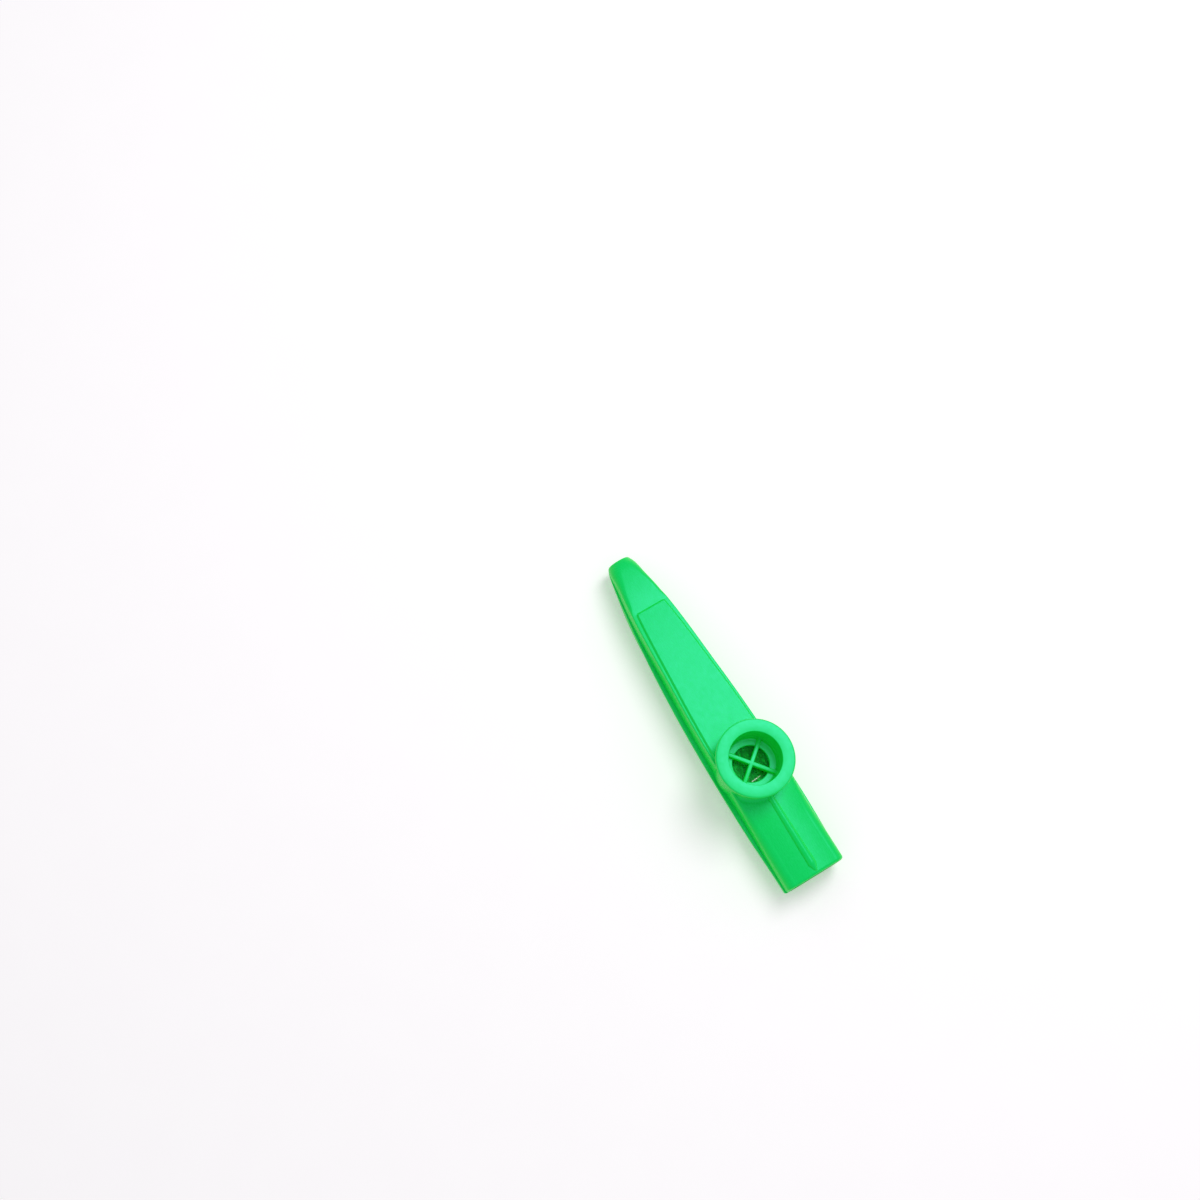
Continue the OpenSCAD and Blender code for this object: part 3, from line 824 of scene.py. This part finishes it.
def fit_collar(bm, c, roof):
    """Runs the foot out, and lifts the collar's underside, where they reach the shell's side."""
    b, t = c.b, c.t
    side = c.upper_half(t.at) - b.wall / 2
    edge = c.upper_half(t.at) - b.shoulder * FOOT_END
    for v in bm.verts:
        x, y = v.co.x - TURRET_X, v.co.y
        r = math.hypot(x, y)
        aside = abs(y) / r * t.collar
        if r > t.collar + SAME:
            room = ease((edge - aside) / FOOT_FADE)
            v.co.x = TURRET_X + x / r * mix(t.collar, r, room)
            v.co.y = y / r * mix(t.collar, r, room)
            v.co.z = mix(roof - FOOT_DEPTHS[1], v.co.z, room)
        elif (abs(v.co.z - t.seat + t.seat_t) < SAME and r > t.collar - COLLAR_STEP - SAME
                and aside > side):
            v.co.z = b.seam + b.rim_step


class KAZOO_OT_upper_shell(bpy.types.Operator):
    """Adds the upper shell with its panel, rib, collar and seat"""
    bl_idname = "kazoo.upper_shell"
    bl_label = "Upper shell"

    def execute(self, context):
        finish = context.scene.kazoo_finish
        c = BodyCurves(context.scene)
        roof = c.b.seam + c.b.crown
        piece = finished("upper_body", swept_shell(c, upper_strip))
        cut_away(piece, turret_hole(c.t))
        bm = turned(collar_outline(c.t, roof))
        fit_collar(bm, c, roof)
        bm.from_mesh(piece.data)
        bpy.data.objects.remove(piece)
        bmesh.ops.remove_doubles(bm, verts=bm.verts, dist=MERGE_DIST)
        piece = finished("upper_body", bm)
        replace_node(piece, "upper_shell", "body",
                     moulded_plastic("shell plastic, upper", finish.shell, finish.shell_sheen_top))
        return {"FINISHED"}


# Rounding of the bore's upper edge, which is the bevel under the floor ring's hole too, fillet from
# the bore to the floor ring, and rounding of the hole's upper edge
BORE_EDGE = 0.2 * MM
BORE_FILLET = 0.7 * MM
HOLE_LIP = 0.34 * MM
# The bore narrows this far above the cross bars
BORE_OVER = 0.3 * MM
# How far the bars run into the bore's wall and the floor ring, and the rounding of their tops
BAR_IN = 0.6 * MM
BAR_EDGE = 0.32 * MM


def cap_outline(t):
    """Radius and height round the cap, from its tube out to the flange and down the bore."""
    low, under, f, e = t.floor_low, t.rim - t.flange_t, t.flange_edge, BORE_EDGE
    inner, step = t.bore - t.bore_step, t.floor + t.bar_height + BORE_OVER
    outline = [(t.tube - LEAD, low), (t.tube, low + LEAD), (t.tube, under)]
    outline += rounding(t.flange, under, -f, f, 5)
    outline += rounding(t.flange, t.rim, -f, -f, 6, upright=True, first=1)
    outline += rounding(t.bore, t.rim, e, -e, 4)
    outline += [(t.bore, step), (inner, step - t.bore_step)]
    outline += rounding(inner, t.floor, -BORE_FILLET, BORE_FILLET, 6, upright=True)
    outline += rounding(t.floor_hole, t.floor, HOLE_LIP, -HOLE_LIP, 5)
    return outline + [(t.floor_hole, low + e), (t.floor_hole + e, low)]


def only_verts(made):
    """The vertices among what an operator made."""
    return [v for v in made if isinstance(v, bmesh.types.BMVert)]


def cap_cross(t):
    """A bmesh of the four-armed cross, its arms rounded on top."""
    cross = bmesh.new()
    half = t.bar_width / 2
    arm = t.bore - t.bore_step + BAR_IN - half
    bmesh.ops.create_grid(cross, x_segments=1, y_segments=1, size=half)
    for x, y in ((1, 0), (-1, 0), (0, 1), (0, -1)):
        # The middle square's edge on this side, and none of the arms that already stand
        root = [edge for edge in cross.edges if all(
            abs(v.co.x * x + v.co.y * y - half) < SAME
            and abs(v.co.x) + abs(v.co.y) < 2 * half + SAME for v in edge.verts)]
        made = bmesh.ops.extrude_edge_only(cross, edges=root)["geom"]
        bmesh.ops.translate(cross, verts=only_verts(made), vec=(arm * x, arm * y, 0))
    made = bmesh.ops.extrude_face_region(cross, geom=cross.faces[:])["geom"]
    bmesh.ops.translate(cross, verts=only_verts(made), vec=(0, 0, t.bar_height + BAR_IN))
    bmesh.ops.recalc_face_normals(cross, faces=cross.faces)
    tops = [edge for edge in cross.edges if edge.calc_face_angle(0) > 1
            and all(v.co.z > t.bar_height for v in edge.verts)]
    bmesh.ops.bevel(cross, geom=tops, offset=BAR_EDGE, offset_type="OFFSET", segments=4,
                    profile=0.5, affect="EDGES", material=-1)
    bmesh.ops.rotate(cross, verts=cross.verts, cent=(0, 0, 0),
                     matrix=Matrix.Rotation(t.bar_turn, 3, "Z"))
    bmesh.ops.translate(cross, verts=cross.verts, vec=(TURRET_X, 0, t.floor - BAR_IN))
    return cross


class KAZOO_OT_turret_cap(bpy.types.Operator):
    """Adds the flanged cap with its floor ring and cross bars"""
    bl_idname = "kazoo.turret_cap"
    bl_label = "Turret cap"

    def execute(self, context):
        t, finish = context.scene.kazoo_turret, context.scene.kazoo_finish
        bm = turned(cap_outline(t))
        cross, spare = cap_cross(t), bpy.data.meshes.new("cross")
        cross.to_mesh(spare)
        cross.free()
        bm.from_mesh(spare)
        bpy.data.meshes.remove(spare)
        piece = finished("cap", bm)
        replace_node(piece, "turret_cap", "cap",
                     moulded_plastic("cap plastic", finish.cap, finish.cap_sheen_top, shine=0.8, dull=0.3))
        return {"FINISHED"}


# Each pleat's two ends in mm from the turret's axis, and how strong its fold and its painted glint are
PLEATS = [((4.95, -2.3), (4.6, 0.8), 1.0), ((-4.4, -1.2), (-1.9, -3.4), 0.4),
          ((-3.6, 2.4), (0.4, 4.1), 0.3), ((-2.6, -0.4), (1.0, -2.5), 0.3),
          ((1.0, 3.0), (3.3, 0.9), 0.35), ((2.0, -3.9), (3.4, -2.2), 0.4)]
# Half width of a pleat in mm
PLEAT_HALF = 0.36
# Rows of the film from its middle to its edge, and steps round it
FILM_ROWS = 46
FILM_STEPS = 120
# The wrinkles start this far inside the seat's hole and are full after the run, both in mm
FLAT_MARGIN = 0.2
WRINKLE_RUN = 1.6


def pleat_at(x, y):
    """How much of a pleat the film has at a place in mm from the turret's axis."""
    most = 0.0
    for (x0, y0), (x1, y1), much in PLEATS:
        run = Vector((x1 - x0, y1 - y0))
        k = held(Vector((x - x0, y - y0)).dot(run) / run.length_squared)
        away = math.hypot(x - x0 - k * run.x, y - y0 - k * run.y)
        most = max(most, much * ease(1 - away / PLEAT_HALF))
    return most


def fold_at(x, y):
    """Share of its sag by which the film is folded at a place in mm from the turret's axis."""
    fold = noise.noise(Vector((x * 0.42, y * 0.42, 3.1)))
    fold += 0.5 * noise.noise(Vector((x * 0.95 + fold, y * 0.8, 7.7)))
    fold += 0.35 * math.sin(1.3 * x + 2.2 * y + 3 * fold)
    return fold - 0.8 + 1.2 * pleat_at(x, y)


def film_sheet(t, low, high):
    """A bmesh of the film, flat on the seat and wrinkled inside the seat's hole."""
    middle = (low + high) / 2
    bm = turned([(t.film * k / FILM_ROWS, middle) for k in range(FILM_ROWS + 1)], FILM_STEPS,
                closed=False)
    for v in bm.verts:
        x, y = (v.co.x - TURRET_X) / MM, v.co.y / MM
        loose = ease((t.seat_hole / MM - FLAT_MARGIN - math.hypot(x, y)) / WRINKLE_RUN)
        v.co.z += t.film_sag * loose * fold_at(x, y)
    bmesh.ops.recalc_face_normals(bm, faces=bm.faces)
    bmesh.ops.solidify(bm, geom=bm.faces[:], thickness=high - low)
    rim = [v.co.z for v in bm.verts if math.hypot(v.co.x - TURRET_X, v.co.y) > t.film * 0.9]
    bmesh.ops.translate(bm, verts=bm.verts, vec=(0, 0, middle - (min(rim) + max(rim)) / 2))
    # This layer masks the glint painted on the pleats, and their glossier finish
    pleat = bm.verts.layers.float.new("pleat")
    for v in bm.verts:
        v[pleat] = pleat_at((v.co.x - TURRET_X) / MM, v.co.y / MM)
    return bm


# Bevel of the ring's edges, and steps round it
RING_EDGE = 0.15 * MM
RING_STEPS = 128


def ring_outline(t, low, high):
    """Radius and height round the ring's band."""
    e, inner = RING_EDGE, t.ring - t.ring_band
    return [(inner + e, low), (t.ring - e, low), (t.ring, low + e), (t.ring, high - e),
            (t.ring - e, high), (inner + e, high), (inner, high - e), (inner, low + e)]


class KAZOO_OT_membrane(bpy.types.Operator):
    """Adds the crinkled membrane and the stiff ring that holds its edge"""
    bl_idname = "kazoo.membrane"
    bl_label = "Membrane and ring"

    def execute(self, context):
        t, finish = context.scene.kazoo_turret, context.scene.kazoo_finish
        film = finished("film", film_sheet(t, float(FILM_LOW[2]), float(FILM_HIGH[2])), sharp=60)
        replace_node(film, "membrane", "film", crinkled_film("crinkled film", finish.film))
        outline = ring_outline(t, float(RING_LOW[2]), float(RING_HIGH[2]))
        ring = finished("ring", turned(outline, RING_STEPS), sharp=25)
        replace_node(ring, "membrane_ring", "ring", stiff_ring("ring plastic", finish.ring))
        return {"FINISHED"}


class KAZOO_PT_panel(bpy.types.Panel):
    """Lists the kazoo's sizes, colours and steps"""
    bl_idname = "KAZOO_PT_panel"
    bl_label = "Kazoo"
    bl_space_type = "VIEW_3D"
    bl_region_type = "UI"
    bl_category = "Kazoo"

    def draw(self, context):
        for step in STEPS:
            self.layout.operator(step.bl_idname)
        for group in GROUPS:
            box = self.layout.box()
            box.label(text=group.__doc__)
            values = getattr(context.scene, GROUPS[group])
            for name in group.__annotations__:
                box.prop(values, name)


GROUPS = {KazooBody: "kazoo_body", KazooTurret: "kazoo_turret", KazooFinish: "kazoo_finish",
          KazooStage: "kazoo_stage"}
STEPS = (KAZOO_OT_stage, KAZOO_OT_lower_shell, KAZOO_OT_upper_shell, KAZOO_OT_turret_cap,
         KAZOO_OT_membrane)


def register():
    for group, name in GROUPS.items():
        bpy.utils.register_class(group)
        setattr(bpy.types.Scene, name, PointerProperty(type=group))
    for step in (*STEPS, KAZOO_PT_panel):
        bpy.utils.register_class(step)


def unregister():
    for step in reversed((*STEPS, KAZOO_PT_panel)):
        bpy.utils.unregister_class(step)
    for group, name in GROUPS.items():
        delattr(bpy.types.Scene, name)
        bpy.utils.unregister_class(group)


def main():
    register()
    bpy.ops.kazoo.stage()
    bpy.ops.kazoo.lower_shell()
    bpy.ops.kazoo.upper_shell()
    bpy.ops.kazoo.turret_cap()
    bpy.ops.kazoo.membrane()


if __name__ == "__main__":
    main()
